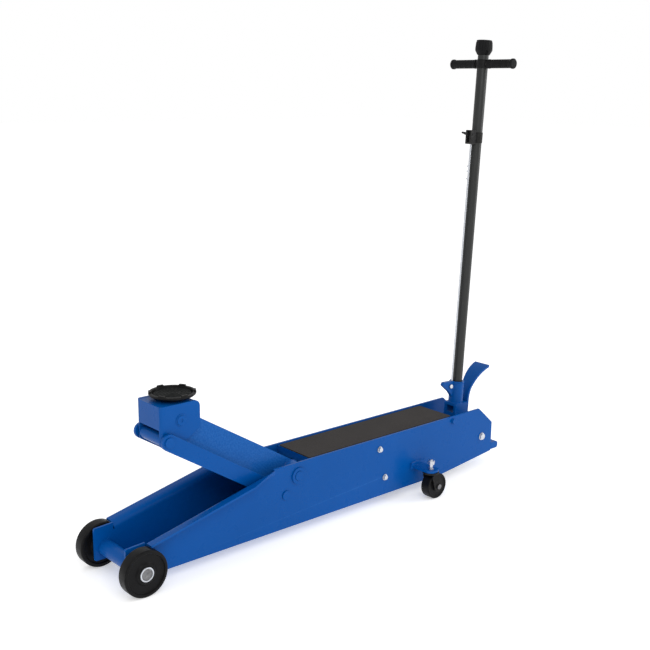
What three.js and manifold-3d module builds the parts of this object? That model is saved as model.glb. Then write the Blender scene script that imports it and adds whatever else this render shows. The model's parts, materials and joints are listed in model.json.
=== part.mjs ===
// Long-chassis hydraulic service jack. Millimetres, +Z up, +X towards the handle, -Y is the left side.
import * as THREE from "three";
import { mergeVertices } from "three/addons/utils/BufferGeometryUtils.js";
import ManifoldModule from "manifold-3d";

const kernel = await ManifoldModule();
kernel.setup();

// ---- Clearances ----
const GAP = 0.3; // between parts that rest on each other
const RUN = 0.3; // radial, round a shaft that turns
const WELD = 1; // how far a welded piece sinks into the next one

// ---- Chassis ----
const CHASSIS_HALF = 83; // to the outer face of a side plate
const PLATE_T = 6;
const PLATE_IN = CHASSIS_HALF - PLATE_T;
const BOTTOM_Z = 31;
const TOP_Z = 218;
const NOSE_X = -33;
const NOSE_Z = 122;
const SLOPE_X0 = 24; // where the flanged slope starts behind the nose
const SLOPE_Z0 = 126;
const SLOPE_X1 = 440; // where it reaches the full height
const FLANGE_REACH = 30;
const FLANGE_BEND = 13; // inner radius of the bend
const KICK_X = 1130; // where the underside starts to rise
const REAR_X = 1376;
const REAR_LOW_Z = 57;
const REAR_HIGH_Z = 158;
const CHAMFER_X = 1308;

// ---- Lifting linkage ----
const PIVOT = [528, TOP_Z - 39]; // x, z of the arm's pivot
const PIVOT_SHAFT_R = 14;
const PIVOT_TUBE_R = 34;
const ARM_LENGTH = 439;
const ARM_RISE = 32.5; // degrees above level
const ARM_HALF = 46;
const ARM_PLATE_T = 8;
const ARM_TIP_R = 26;
const ARM_DEPTH = 58; // of the arm's lower edge below its centre line
const ARM_PIN_R = 13;
const LINK_SHIFT = [-45, -48]; // from the arm's pins to the links' pins
const LINK_R = 22;
const LINK_T = 9;
const LINK_PIN_R = 12;
const HEAD_HALF = 57;
const HEAD_PLATE_T = 9;
const HEAD_FRONT = -62;
const HEAD_REAR = 58;
const HEAD_TOP = 45; // above the arm's front pin
const SADDLE_R = 62.5;
const SADDLE_H = 20;
const SADDLE_LUGS = 6;
const SADDLE_SET = 11; // behind the arm's front pin
const SPIGOT_R = 18;

// ---- Hydraulic unit ----
const CRANK_R = 95;
const CRANK_LEAN = 11; // degrees ahead of straight down
const CRANK_PIN_R = 12;
const CRANK_SWING = 31; // degrees either side of straight down
const RAM_R = 20;
const BARREL_R = 42;
const BARREL_X0 = 606;
const BLOCK_X0 = 832;
const BLOCK_X1 = 900;
const PUMP_X1 = 1250;
const PLUNGER_R = 12;

// ---- Wheels ----
const WHEEL_R = 62.5;
const WHEEL_W = 34;
const WHEEL_Y = CHASSIS_HALF + 28;
const AXLE_R = 15;
const AXLE_TUBE_R = 21.5;
const BEARING_R = 19.5;
const CASTER_X = 1015;
const CASTER_Y = CHASSIS_HALF + 60;
const CASTER_TRAIL = 15;
const CASTER_R = 40.5;
const CASTER_W = 32;
const CASTER_PIN_R = 6; // swivel bolt and axle
const CASTER_PLATE_Z = 89;
const CASTER_PLATE_T = 7;

// ---- Cover ----
const COVER_X0 = 580;
const COVER_X1 = 1182;
const COVER_T = 5;
const MAT_T = 3.5;

// ---- Handle: x and z from here on are measured from the handle's pivot, square to its tube ----
const HANDLE_PIVOT = [1325, 118];
const HANDLE_LEAN = 3.4; // degrees back from upright
const HANDLE_SHAFT_R = 8;
const TUBE_X = -50;
const TUBE_R = 17;
const TUBE_WALL = 2.5;
const SOCKET_R = 24;
const SOCKET_TOP = 180;
const YOKE_TOP = 108;
const YOKE_HALF = 25;
const YOKE_X0 = -76;
const YOKE_X1 = -11;
const YOKE_T = 7;
const CAM_DROP = 30;
const CAM_R = 12;
const PEDAL_T = 8;
const PEDAL_BEND_R = 120;
const PEDAL_HALF = 33;
const TBAR_Z = 1209;
const TBAR_HALF = 125;
const TBAR_R = 10;
const GRIP_R = 14;
const KNOB_R = 27;
const KNOB_Z = 1236.5;
const KNOB_H = 45.5;
const TUBE_TOP = KNOB_Z - GAP;
const RELEASE_R = 5;
const ROD_X = TUBE_X - 26;
const ROD_R = 2.75;
const LATCH_Z = 959;
const LATCH_H = 44;
const LEVER_PIVOT = [-86, 988];
const LEVER_PIN_R = 3;
const LEVER_PLAY = 8; // from the rod's top up to the lever's pivot

const ROUND = 20; // sides of a round part
const WHEEL_SIDES = 28;
const ARC_STEP = 22; // degrees between points on a rounded corner

// ---- Colours ----
const PAINT = { color: 0x0552a6, roughness: 0.34, metalness: 0.1 };
const BLACK = { color: 0x17181a, roughness: 0.45, metalness: 0.2 };
const TUBE_BLACK = { color: 0x2b2c2c, roughness: 0.4, metalness: 0.5 };
const RUBBER = { color: 0x141414, roughness: 0.75, metalness: 0 };
const MAT_GREY = { color: 0x3b3936, roughness: 0.9, metalness: 0 };
const STEEL = { color: 0xb9bcc4, roughness: 0.3, metalness: 0.95 };
const DARK_STEEL = { color: 0x6f7276, roughness: 0.4, metalness: 0.9 };
const CHROME = { color: 0xd8dade, roughness: 0.12, metalness: 1 };

// ---- Solids ----

// A closed geometry as a solid that can be joined and cut.
function solid(geometry) {
  const flat = geometry.index ? geometry.toNonIndexed() : geometry;
  const bare = new THREE.BufferGeometry();
  bare.setAttribute("position", flat.getAttribute("position"));
  const merged = mergeVertices(bare, 1e-4);
  const corners = Array.from(merged.index.array);
  const faces = [];
  for (let i = 0; i < corners.length; i += 3) {
    const [a, b, c] = corners.slice(i, i + 3);
    if (a !== b && b !== c && c !== a) faces.push(a, b, c);
  }
  const mesh = new kernel.Mesh({
    numProp: 3,
    vertProperties: new Float32Array(merged.attributes.position.array),
    triVerts: new Uint32Array(faces),
  });
  return new kernel.Manifold(mesh);
}

const join = (first, ...rest) => rest.reduce((a, b) => a.add(b), first);
const cut = (first, ...rest) => rest.reduce((a, b) => a.subtract(b), first);
const common = (a, b) => a.intersect(b);

// How a shape drawn in a plane is stood along each axis.
const STAND = {
  x: new THREE.Matrix4().makeBasis(
    new THREE.Vector3(0, 1, 0),
    new THREE.Vector3(0, 0, 1),
    new THREE.Vector3(1, 0, 0),
  ),
  y: new THREE.Matrix4().makeBasis(
    new THREE.Vector3(1, 0, 0),
    new THREE.Vector3(0, 0, 1),
    new THREE.Vector3(0, -1, 0),
  ),
  z: new THREE.Matrix4(),
};

// A flat outline made thick along an axis, between two values on it.
function prism(axis, points, from, to) {
  const [low, high] = [Math.min(from, to), Math.max(from, to)];
  const shape = new THREE.Shape(points);
  const depth = high - low;
  const geometry = new THREE.ExtrudeGeometry(shape, { depth, bevelEnabled: false });
  geometry.translate(0, 0, axis === "y" ? -high : low);
  return solid(geometry.applyMatrix4(STAND[axis]));
}

// A block between two corners.
function block([x0, y0, z0], [x1, y1, z1]) {
  const geometry = new THREE.BoxGeometry(Math.abs(x1 - x0), Math.abs(y1 - y0), Math.abs(z1 - z0));
  return solid(geometry.translate((x0 + x1) / 2, (y0 + y1) / 2, (z0 + z1) / 2));
}

// A turned solid: [radius, height] points in order from the lower end, about an axis through centre.
function turned(axis, [cx, cy, cz], profile, sides = ROUND) {
  const points = profile.map(([r, h]) => new THREE.Vector2(r, h));
  const geometry = new THREE.LatheGeometry(points, sides);
  if (axis === "x") geometry.rotateZ(-Math.PI / 2);
  if (axis === "z") geometry.rotateX(Math.PI / 2);
  return solid(geometry.translate(cx, cy, cz));
}

// The radius to the corners of a hole whose flat sides clear a round of radius r.
const clear = (r, sides = ROUND) => r / Math.cos(Math.PI / sides);

// A round bar, its ends chamfered where an edge is given.
function bar(axis, centre, r, from, to, sides = ROUND, edge = 0) {
  const bevelled = [[r - edge, from], [r, from + edge], [r, to - edge], [r - edge, to]];
  const side = edge ? bevelled : [[r, from], [r, to]];
  return turned(axis, centre, [[0, from], ...side, [0, to]], sides);
}

// The tool for a round hole of radius r.
const bore = (axis, centre, r, from, to) => bar(axis, centre, clear(r), from, to);

// A plain ring.
function ring(axis, centre, inner, outer, from, to, sides = ROUND) {
  const hole = clear(inner, sides);
  const profile = [[hole, from], [outer, from], [outer, to], [hole, to], [hole, from]];
  return turned(axis, centre, profile, sides);
}

// ---- Outlines ----

const point = (u, v) => new THREE.Vector2(u, v);
const radians = (degrees) => (degrees * Math.PI) / 180;

// Points along an arc, its ends included.
function arc(cu, cv, r, start, end, step = ARC_STEP) {
  const steps = Math.max(2, Math.ceil(Math.abs(end - start) / step));
  return Array.from({ length: steps + 1 }, (_, i) => {
    const a = radians(start + ((end - start) * i) / steps);
    return point(cu + r * Math.cos(a), cv + r * Math.sin(a));
  });
}

// One rounded corner between its two neighbours.
function fillet(before, corner, after, r) {
  if (!r) return [corner];
  const a = before.clone().sub(corner).normalize();
  const b = after.clone().sub(corner).normalize();
  const half = Math.acos(THREE.MathUtils.clamp(a.dot(b), -1, 1)) / 2;
  const centre = a.clone().add(b).normalize().multiplyScalar(r / Math.sin(half)).add(corner);
  const foot = (v) => v.clone().multiplyScalar(r / Math.tan(half)).add(corner).sub(centre);
  const start = THREE.MathUtils.radToDeg(foot(a).angle());
  const turn = THREE.MathUtils.radToDeg(foot(b).angle()) - start;
  const sweep = THREE.MathUtils.euclideanModulo(turn + 180, 360) - 180;
  return arc(centre.x, centre.y, r, start, start + sweep);
}

// An outline through corners given as [u, v, radius].
function rounded(corners) {
  const points = corners.map(([u, v]) => point(u, v));
  const at = (i) => points[(i + points.length) % points.length];
  return corners.flatMap(([, , r], i) => fillet(at(i - 1), at(i), at(i + 1), r ?? 0));
}

const oblong = (u0, u1, v0, v1, r) => rounded([[u0, v0, r], [u1, v0, r], [u1, v1, r], [u0, v1, r]]);

// The outline round two circles and their common tangents.
function capsule([pu, pv], [qu, qv], rp, rq) {
  const length = Math.hypot(qu - pu, qv - pv);
  const line = THREE.MathUtils.radToDeg(Math.atan2(qv - pv, qu - pu));
  const lean = THREE.MathUtils.radToDeg(Math.acos((rp - rq) / length));
  return [
    ...arc(qu, qv, rq, line - lean, line + lean),
    ...arc(pu, pv, rp, line + lean, line + 360 - lean),
  ];
}

// ---- Scene ----

const jack = new THREE.Group();
const chassis = new THREE.Group();
const handle = new THREE.Group();
jack.add(chassis);
jack.add(handle);

// Adds a solid as a named mesh.
function place(group, name, body, finish, mirrored = false) {
  const { vertProperties, triVerts } = body.getMesh();
  const geometry = new THREE.BufferGeometry();
  geometry.setAttribute("position", new THREE.BufferAttribute(vertProperties, 3));
  geometry.setIndex(new THREE.BufferAttribute(triVerts, 1));
  geometry.computeVertexNormals();
  const mesh = new THREE.Mesh(geometry, new THREE.MeshStandardMaterial(finish));
  mesh.name = name;
  if (mirrored) mesh.scale.y = -1;
  group.add(mesh);
}

// Adds a left-hand solid and its mirror image.
function placePair(group, name, body, finish) {
  place(group, name + "_left", body, finish);
  place(group, name + "_right", body, finish, true);
}

// ---- Places on the linkage ----

const rise = radians(ARM_RISE);
const ALONG = [-Math.cos(rise), Math.sin(rise)];
const ABOVE = [Math.sin(rise), Math.cos(rise)];

// A point in the arm's own directions, from its pivot.
function onArm(along, above) {
  return [0, 1].map((i) => PIVOT[i] + along * ALONG[i] + above * ABOVE[i]);
}

const shifted = ([x, z]) => [x + LINK_SHIFT[0], z + LINK_SHIFT[1]];
const spot = ([x, z]) => [x, 0, z];
const HEAD = onArm(ARM_LENGTH, 0);
const LINK_FRONT = shifted(HEAD);
const LINK_REAR = shifted(PIVOT);
const lean = radians(CRANK_LEAN);
const CRANK = [PIVOT[0] - CRANK_R * Math.sin(lean), PIVOT[1] - CRANK_R * Math.cos(lean)];
const CRANK_LIFT = CRANK_R * (1 - Math.cos(radians(CRANK_SWING)));
const RAM_Z = PIVOT[1] - CRANK_R + CRANK_LIFT / 2;
const LINK_IN = HEAD_HALF + 4;
const LINK_OUT = LINK_IN + LINK_T;
const PLATE_OUT = CHASSIS_HALF + GAP;

// ---- Chassis parts ----

// Bolts through both side plates: x, z.
const FRAME_BOLTS = {
  upper: [849, TOP_Z - 36],
  lower: [873, 87],
  rear: [1179, TOP_Z - 16],
};
const FRAME_BOLT_R = 5;

// The turned-out edge along the nose's slope.
function slopeFlange() {
  const dx = SLOPE_X1 - SLOPE_X0;
  const dz = TOP_Z - SLOPE_Z0;
  const length = Math.hypot(dx, dz);
  const [c, s] = [dx / length, dz / length];
  const depth = FLANGE_BEND + PLATE_T;
  const section = [
    point(-PLATE_T, -depth - PLATE_T),
    point(0, -depth - PLATE_T),
    ...arc(FLANGE_BEND, -depth, FLANGE_BEND, 180, 90),
    point(FLANGE_REACH, -PLATE_T),
    point(FLANGE_REACH, 0),
    ...arc(FLANGE_BEND, -depth, depth, 90, 180),
  ];
  const frame = new THREE.Matrix4().makeBasis(
    new THREE.Vector3(0, -1, 0),
    new THREE.Vector3(-s, 0, c),
    new THREE.Vector3(-c, 0, -s),
  );
  frame.setPosition(SLOPE_X1, -CHASSIS_HALF, TOP_Z);
  const run = new THREE.ExtrudeGeometry(new THREE.Shape(section), {
    depth: length,
    bevelEnabled: false,
  });
  return solid(run.applyMatrix4(frame));
}

// The flange's plan, which rounds its front corner and runs it out at the rear.
function flangeBounds() {
  const out = -CHASSIS_HALF - FLANGE_REACH - 1;
  const corner = FLANGE_REACH * 0.5;
  const plan = rounded([
    [SLOPE_X0 - 10, -PLATE_IN],
    [SLOPE_X0 - 10, out, corner],
    [SLOPE_X1 - FLANGE_REACH * 3, out, corner],
    [SLOPE_X1 + 10, -CHASSIS_HALF - 2],
    [SLOPE_X1 + 10, -PLATE_IN],
  ]);
  return prism("z", plan, 0, TOP_Z * 2);
}

function sidePlate() {
  const drop = (FLANGE_BEND + PLATE_T) * 1.1;
  const outline = rounded([
    [NOSE_X, BOTTOM_Z, 5],
    [KICK_X, BOTTOM_Z, 60],
    [REAR_X, REAR_LOW_Z, 4],
    [REAR_X, REAR_HIGH_Z, 5],
    [CHAMFER_X, TOP_Z, 5],
    [SLOPE_X1, TOP_Z],
    [SLOPE_X1, TOP_Z - drop],
    [SLOPE_X0, SLOPE_Z0 - drop],
    [SLOPE_X0, SLOPE_Z0 - 1],
    [NOSE_X, NOSE_Z, 5],
  ]);
  const plate = prism("y", outline, -CHASSIS_HALF, -PLATE_IN);
  const boss = bar("y", spot(PIVOT), PIVOT_SHAFT_R + 10, -CHASSIS_HALF - 4, -PLATE_IN);
  const holes = [
    [PIVOT, PIVOT_SHAFT_R],
    [LINK_REAR, LINK_PIN_R],
    [[0, WHEEL_R], AXLE_R],
    [HANDLE_PIVOT, HANDLE_SHAFT_R],
    ...Object.values(FRAME_BOLTS).map((at) => [at, FRAME_BOLT_R]),
  ];
  const tools = holes.map(([at, r]) => bore("y", spot(at), r + RUN, -CHASSIS_HALF * 2, 0));
  return cut(join(plate, boss, common(slopeFlange(), flangeBounds())), ...tools);
}

function floorPlate() {
  const half = PLATE_IN - GAP;
  return prism("z", oblong(16, BLOCK_X1, -half, half, 4), BOTTOM_Z, BOTTOM_Z + 5);
}

function coverPlate() {
  const half = PLATE_IN - GAP;
  const top = TOP_Z - 1 - MAT_T - GAP;
  const sheet = prism("z", oblong(COVER_X0 - 2, COVER_X1 + 4, -half, half, 2), top - COVER_T, top);
  const lip = block([COVER_X0 - 2, -half, top - 22], [COVER_X0 + 3, half, top - 1]);
  return join(sheet, lip);
}

function treadMat() {
  const half = PLATE_IN - 7;
  return prism("z", oblong(COVER_X0, COVER_X1, -half, half, 5), TOP_Z - 1 - MAT_T, TOP_Z - 1);
}

function frontAxle() {
  const end = WHEEL_Y + WHEEL_W / 2 + 3;
  return bar("y", [0, 0, WHEEL_R], AXLE_R, -end, end, 24, 1.2);
}

// The tube over the axle that keeps the side plates apart.
function axleTube() {
  const half = PLATE_IN - GAP;
  return ring("y", [0, 0, WHEEL_R], AXLE_R + RUN, AXLE_TUBE_R, -half, half, 24);
}

// A bolt across the chassis with a six-sided head and washer at each end.
function frameBolt(at, r) {
  const washer = (y0, y1) => bar("y", spot(at), r + 4.6, y0, y1);
  const hex = (y0, y1) => bar("y", spot(at), r + 3.2, y0, y1, 6, 1.5);
  return join(
    bar("y", spot(at), r, -PLATE_OUT - 2, PLATE_OUT + 2),
    washer(-PLATE_OUT - 1.6, -PLATE_OUT),
    washer(PLATE_OUT, PLATE_OUT + 1.6),
    hex(-PLATE_OUT - 7, -PLATE_OUT - 1),
    hex(PLATE_OUT + 1, PLATE_OUT + 7),
  );
}

function linkPin() {
  const head = bar("y", spot(LINK_REAR), LINK_PIN_R + 1.5, -PLATE_OUT - 3, -PLATE_OUT);
  return join(head, bar("y", spot(LINK_REAR), LINK_PIN_R, -PLATE_OUT - 1, -LINK_IN + 1));
}

function rearBar() {
  const outline = rounded([
    [REAR_X + GAP, 60, 2],
    [REAR_X + 36, 60, 8],
    [REAR_X + 36, 83, 8],
    [REAR_X + GAP, 83, 2],
  ]);
  return prism("y", outline, -CHASSIS_HALF, CHASSIS_HALF);
}

// ---- Hydraulic unit ----

function barrel() {
  const centre = [0, 0, RAM_Z];
  const end = BLOCK_X0 - GAP;
  const hole = clear(RAM_R + RUN);
  const profile = [
    [hole, BARREL_X0],
    [BARREL_R - 9, BARREL_X0],
    [BARREL_R - 8, BARREL_X0 + 1],
    [BARREL_R - 8, BARREL_X0 + 10],
    [BARREL_R - 1, BARREL_X0 + 10],
    [BARREL_R, BARREL_X0 + 11],
    [BARREL_R, end],
    [0, end],
    [0, end - 20],
    [hole, end - 20],
    [hole, BARREL_X0],
  ];
  return turned("x", centre, profile);
}

function valveBlock() {
  const half = CHASSIS_HALF * 0.68;
  const body = prism("y", oblong(BLOCK_X0, BLOCK_X1, RAM_Z - 36, TOP_Z - 22, 4), -half, half);
  const bores = [FRAME_BOLTS.upper, FRAME_BOLTS.lower].map((at) =>
    bore("y", spot(at), FRAME_BOLT_R + RUN, -half - 1, half + 1),
  );
  return cut(body, ...bores);
}

function reservoir() {
  const half = CHASSIS_HALF * 0.68;
  const outline = oblong(-half, half, RAM_Z - 32, TOP_Z - 34, 14);
  return prism("x", outline, BLOCK_X1 + GAP, COVER_X1 - 66);
}

function pumpBlock() {
  const z = HANDLE_PIVOT[1] - CAM_DROP;
  const body = prism("x", oblong(-36, 36, z - 32, z + 30, 4), COVER_X1 - 66 + GAP, PUMP_X1);
  const nose = bar("x", [0, 0, z], PLUNGER_R + 7, PUMP_X1 - 1, PUMP_X1 + 8);
  return cut(join(body, nose), bore("x", [0, 0, z], PLUNGER_R + RUN, PUMP_X1 - 64, PUMP_X1 + 9));
}

function pumpPlunger() {
  const cam = HANDLE_PIVOT[0] - CAM_DROP * Math.sin(radians(HANDLE_LEAN));
  const face = cam - CAM_R - 1;
  const z = HANDLE_PIVOT[1] - CAM_DROP;
  const rod = bar("x", [0, 0, z], PLUNGER_R, PUMP_X1 - 26, face - 2);
  return join(rod, bar("x", [0, 0, z], PLUNGER_R + 2, face - 6, face));
}

function ramRod() {
  const start = CRANK[0] + 22 + GAP;
  return bar("x", [0, 0, RAM_Z], RAM_R, start, start + 160);
}

// The ram's head: a block with an upright slot for the crank pin.
function ramHead() {
  const reach = CRANK_LIFT / 2 + CRANK_PIN_R + 3;
  const [x, z] = [CRANK[0], RAM_Z];
  const half = ARM_HALF - ARM_PLATE_T - 8;
  const body = prism("y", oblong(x - 22, x + 22, z - reach - 9, z + reach + 9, 5), -half, half);
  const slot = CRANK_PIN_R + 2.4;
  return cut(body, prism("y", oblong(x - slot, x + slot, z - reach, z + reach, 6), -half - 1, half + 1));
}

// ---- Lifting arm, links and head ----

function liftArm() {
  const web = rounded([
    [...onArm(12, 0), 0],
    [...onArm(12, -ARM_DEPTH), 20],
    [...onArm(ARM_LENGTH - 46, -ARM_DEPTH), 12],
    [...onArm(ARM_LENGTH - 26, -ARM_TIP_R - 10), 8],
    [...onArm(ARM_LENGTH - 8, -ARM_TIP_R + 4), 0],
    [...onArm(ARM_LENGTH - 8, 0), 0],
  ]);
  const cheek = (y) => {
    const side = prism("y", capsule(PIVOT, HEAD, PIVOT_TUBE_R, ARM_TIP_R), y, y + ARM_PLATE_T);
    const crank = prism("y", capsule(PIVOT, CRANK, PIVOT_TUBE_R, 22), y, y + ARM_PLATE_T);
    return join(side, crank, prism("y", web, y, y + ARM_PLATE_T));
  };
  const inner = ARM_HALF - ARM_PLATE_T + WELD;
  const roof = (along, inset) => {
    const r = PIVOT_TUBE_R + ((ARM_TIP_R - PIVOT_TUBE_R) * along) / ARM_LENGTH;
    return point(...onArm(along, r - inset));
  };
  const end = ARM_LENGTH - 10;
  const top = [roof(10, 1), roof(end, 1), roof(end, 8), roof(10, 8)];
  const low = (along, inset) => point(...onArm(along, inset - ARM_DEPTH));
  const far = ARM_LENGTH - 60;
  const bottom = [low(120, 1), low(far, 1), low(far, 8), low(120, 8)];
  const body = join(
    cheek(-ARM_HALF),
    cheek(ARM_HALF - ARM_PLATE_T),
    prism("y", top, -inner, inner),
    prism("y", bottom, -inner, inner),
    bar("y", spot(PIVOT), PIVOT_TUBE_R, -PLATE_IN + 2, PLATE_IN - 2, 24),
    bar("y", spot(HEAD), ARM_TIP_R - 2, -ARM_HALF + WELD, ARM_HALF - WELD),
  );
  return cut(
    body,
    bore("y", spot(PIVOT), PIVOT_SHAFT_R + RUN, -CHASSIS_HALF, CHASSIS_HALF),
    bore("y", spot(HEAD), ARM_PIN_R + RUN, -CHASSIS_HALF, CHASSIS_HALF),
    bore("y", spot(CRANK), CRANK_PIN_R + RUN, -CHASSIS_HALF, CHASSIS_HALF),
  );
}

function link() {
  const body = prism("y", capsule(LINK_REAR, LINK_FRONT, LINK_R, LINK_R), -LINK_OUT, -LINK_IN);
  const holes = [LINK_REAR, LINK_FRONT].map((at) =>
    bore("y", spot(at), LINK_PIN_R + RUN, -CHASSIS_HALF, 0),
  );
  return cut(body, ...holes);
}

// The links' front shaft, thick between the head's plates.
function linkShaft() {
  const thick = HEAD_HALF - HEAD_PLATE_T - 1;
  const end = LINK_OUT + GAP;
  return join(
    bar("y", spot(LINK_FRONT), LINK_PIN_R + 5, -thick, thick),
    bar("y", spot(LINK_FRONT), LINK_PIN_R, -end - 1, end + 1),
    bar("y", spot(LINK_FRONT), LINK_PIN_R + 2, -end - 3, -end),
    bar("y", spot(LINK_FRONT), LINK_PIN_R + 2, end, end + 3),
  );
}

function headBracket() {
  const [x, z] = HEAD;
  const from = (dx, dz, r) => [x + dx, z + dz, r];
  const [lx, lz] = LINK_SHIFT;
  const outline = rounded([
    from(HEAD_FRONT, lz + 8, 6),
    from(lx + 12, lz - 14, 4),
    from(14, lz - 8, 6),
    from(HEAD_REAR, -30, 6),
    from(HEAD_REAR, HEAD_TOP, 16),
    from(HEAD_FRONT, HEAD_TOP, 5),
  ]);
  const inner = HEAD_HALF - HEAD_PLATE_T;
  const cheek = (y0, y1) => {
    const lug = bar("y", spot(LINK_FRONT), LINK_PIN_R + 8.5, y0, y1, ROUND);
    return join(prism("y", outline, y0, y1), lug);
  };
  const plan = rounded([
    [x + HEAD_FRONT, -HEAD_HALF, 9],
    [x + HEAD_REAR, -HEAD_HALF, 0],
    [x + HEAD_REAR, HEAD_HALF, 0],
    [x + HEAD_FRONT, HEAD_HALF, 9],
  ]);
  const weld = inner + WELD;
  const top = z + HEAD_TOP;
  const shell = join(
    cheek(-HEAD_HALF, -inner),
    cheek(inner, HEAD_HALF),
    block([x + HEAD_FRONT + 2, -weld, top - 6.5], [x + HEAD_REAR - 14, weld, top - 0.5]),
    block([x + HEAD_FRONT, -weld, z - 18], [x + HEAD_FRONT + 8, weld, top - 0.5]),
  );
  const boss = (y0, y1) => bar("y", spot(HEAD), ARM_PIN_R + 3.5, y0, y1);
  const body = join(
    common(shell, prism("z", plan, 0, top + 1)),
    boss(-HEAD_HALF - 1.6, -HEAD_HALF + 1),
    boss(HEAD_HALF - 1, HEAD_HALF + 1.6),
  );
  return cut(
    body,
    bore("y", spot(HEAD), ARM_PIN_R + RUN, -CHASSIS_HALF, CHASSIS_HALF),
    bore("y", spot(LINK_FRONT), LINK_PIN_R + RUN, -CHASSIS_HALF, CHASSIS_HALF),
    bore("z", [x + SADDLE_SET, 0, 0], SPIGOT_R + RUN, top - 20, top + 1),
  );
}

function armPin() {
  const end = HEAD_HALF + 2.6;
  const shank = bar("y", spot(HEAD), ARM_PIN_R, -end, end);
  const dimple = (y) => bar("y", spot(HEAD), 5, y - 1.5, y + 1.5, 6, 0.2);
  return cut(shank, dimple(-end), dimple(end));
}

function saddle() {
  const base = HEAD[1] + HEAD_TOP + GAP;
  const centre = [HEAD[0] + SADDLE_SET, 0, base];
  const rim = SADDLE_R;
  const dish = turned("z", centre, [
    [0, -6],
    [SPIGOT_R, -6],
    [SPIGOT_R, 0],
    [rim * 0.62, 0],
    [rim - 5, SADDLE_H - 13],
    [rim, SADDLE_H - 8],
    [rim, SADDLE_H - 3],
    [rim - 8, SADDLE_H - 3],
    [rim - 10, SADDLE_H - 11],
    [0, SADDLE_H - 11],
  ], 30);
  const lugs = Array.from({ length: SADDLE_LUGS }, (_, i) => {
    const mid = (360 / SADDLE_LUGS) * (i + 0.5);
    const outer = arc(centre[0], 0, rim - 0.6, mid - 9, mid + 9);
    const inner = arc(centre[0], 0, rim - 7.5, mid + 9, mid - 9);
    return prism("z", [...outer, ...inner], base + SADDLE_H - 5, base + SADDLE_H + 0.5);
  });
  return join(dish, ...lugs);
}

function saddlePad() {
  const base = HEAD[1] + HEAD_TOP + GAP + SADDLE_H - 11 + GAP;
  const r = SADDLE_R - 13;
  const profile = [
    [0, 0],
    [r, 0],
    [r, 3],
    [r - 1, 4],
    [0, 4],
  ];
  return turned("z", [HEAD[0] + SADDLE_SET, 0, base], profile);
}

// ---- Front wheels ----

function frontWheel() {
  const [r, w] = [WHEEL_R, WHEEL_W / 2];
  const hub = clear(BEARING_R + RUN, WHEEL_SIDES);
  const profile = [
    [hub, -w],
    [hub + 7, -w],
    [hub + 9, -w + 5],
    [r - 12, -w + 5],
    [r - 10, -w],
    [r - 4, -w],
    [r, -w + 4],
    [r, w - 4],
    [r - 4, w],
    [hub, w],
    [hub, -w],
  ];
  return turned("y", [0, -WHEEL_Y, r], profile, WHEEL_SIDES);
}

function wheelBearing() {
  const w = WHEEL_W / 2;
  return ring("y", [0, -WHEEL_Y, WHEEL_R], AXLE_R + RUN, BEARING_R, -w, w);
}

function axleRing() {
  const face = WHEEL_Y + WHEEL_W / 2 + GAP;
  return ring("y", [0, 0, WHEEL_R], AXLE_R + RUN, BEARING_R, -face - 2, -face);
}

// ---- Casters ----

const SWIVEL = [CASTER_X, -CASTER_Y, 0];
const CASTER_AXLE = [CASTER_X + CASTER_TRAIL, -CASTER_Y, CASTER_R];

function casterBracket() {
  const [x0, x1] = [CASTER_X - 24, CASTER_X + 24];
  const [z0, z1] = [CASTER_PLATE_Z, CASTER_PLATE_Z + CASTER_PLATE_T];
  const outline = rounded([
    [x0, -PLATE_OUT, 0],
    [x1, -PLATE_OUT, 0],
    [x1, -CASTER_Y - 22, 20],
    [x0, -CASTER_Y - 22, 20],
  ]);
  const shelf = prism("z", outline, z0, z1);
  const foot = block([x0 - 6, -PLATE_OUT, z0 - 4], [x1 + 6, -PLATE_OUT - 6, z1 + 10]);
  return cut(join(shelf, foot), bore("z", SWIVEL, CASTER_PIN_R + RUN, z0 - 1, z1 + 1));
}

// The swivel's bolt: a flat head under the fork, a washer and a nut on top.
function casterBolt() {
  const top = CASTER_PLATE_Z + CASTER_PLATE_T + GAP;
  const under = CASTER_PLATE_Z - GAP - 5 - GAP;
  return join(
    bar("z", SWIVEL, CASTER_PIN_R, under - 1, top + 31),
    bar("z", SWIVEL, CASTER_PIN_R + 3, under - 1.5, under),
    bar("z", SWIVEL, CASTER_PIN_R + 3, top, top + 2),
    bar("z", SWIVEL, CASTER_PIN_R + 6, top + 16, top + 28, 6, 1.5),
  );
}

function casterFork() {
  const top = CASTER_PLATE_Z - GAP;
  const crown = bar("z", SWIVEL, 26, top - 5, top);
  const inner = CASTER_W / 2 + 2;
  const leg = capsule([CASTER_X + 4, top - 16], [CASTER_AXLE[0], CASTER_R], 15.5, 17);
  const cheek = (y) => prism("y", leg, y, y + 4);
  const body = join(crown, cheek(-CASTER_Y - inner - 4), cheek(-CASTER_Y + inner));
  return cut(
    body,
    bore("z", SWIVEL, CASTER_PIN_R + RUN, 0, top + 1),
    bore("y", CASTER_AXLE, CASTER_PIN_R + RUN, -60, 60),
  );
}

function casterWheel() {
  const [r, w] = [CASTER_R, CASTER_W / 2];
  const hole = clear(CASTER_PIN_R + RUN, WHEEL_SIDES);
  const side = (s) => [
    [hole, s * w],
    [hole + 7, s * w],
    [hole + 8, s * (w - 2.5)],
    [r - 9, s * (w - 2.5)],
    [r - 8, s * w],
    [r - 3, s * w],
    [r, s * (w - 4)],
  ];
  const profile = [...side(-1), ...side(1).reverse(), [hole, -w]];
  return turned("y", CASTER_AXLE, profile, WHEEL_SIDES);
}

function casterAxle() {
  const end = CASTER_W / 2 + 6 + GAP;
  return join(
    bar("y", CASTER_AXLE, CASTER_PIN_R, -end - 1, end + 1),
    bar("y", CASTER_AXLE, CASTER_PIN_R + 3, -end - 4, -end, 6, 1),
    bar("y", CASTER_AXLE, CASTER_PIN_R + 3, end, end + 4, 6, 1),
  );
}

// ---- Handle ----

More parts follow.
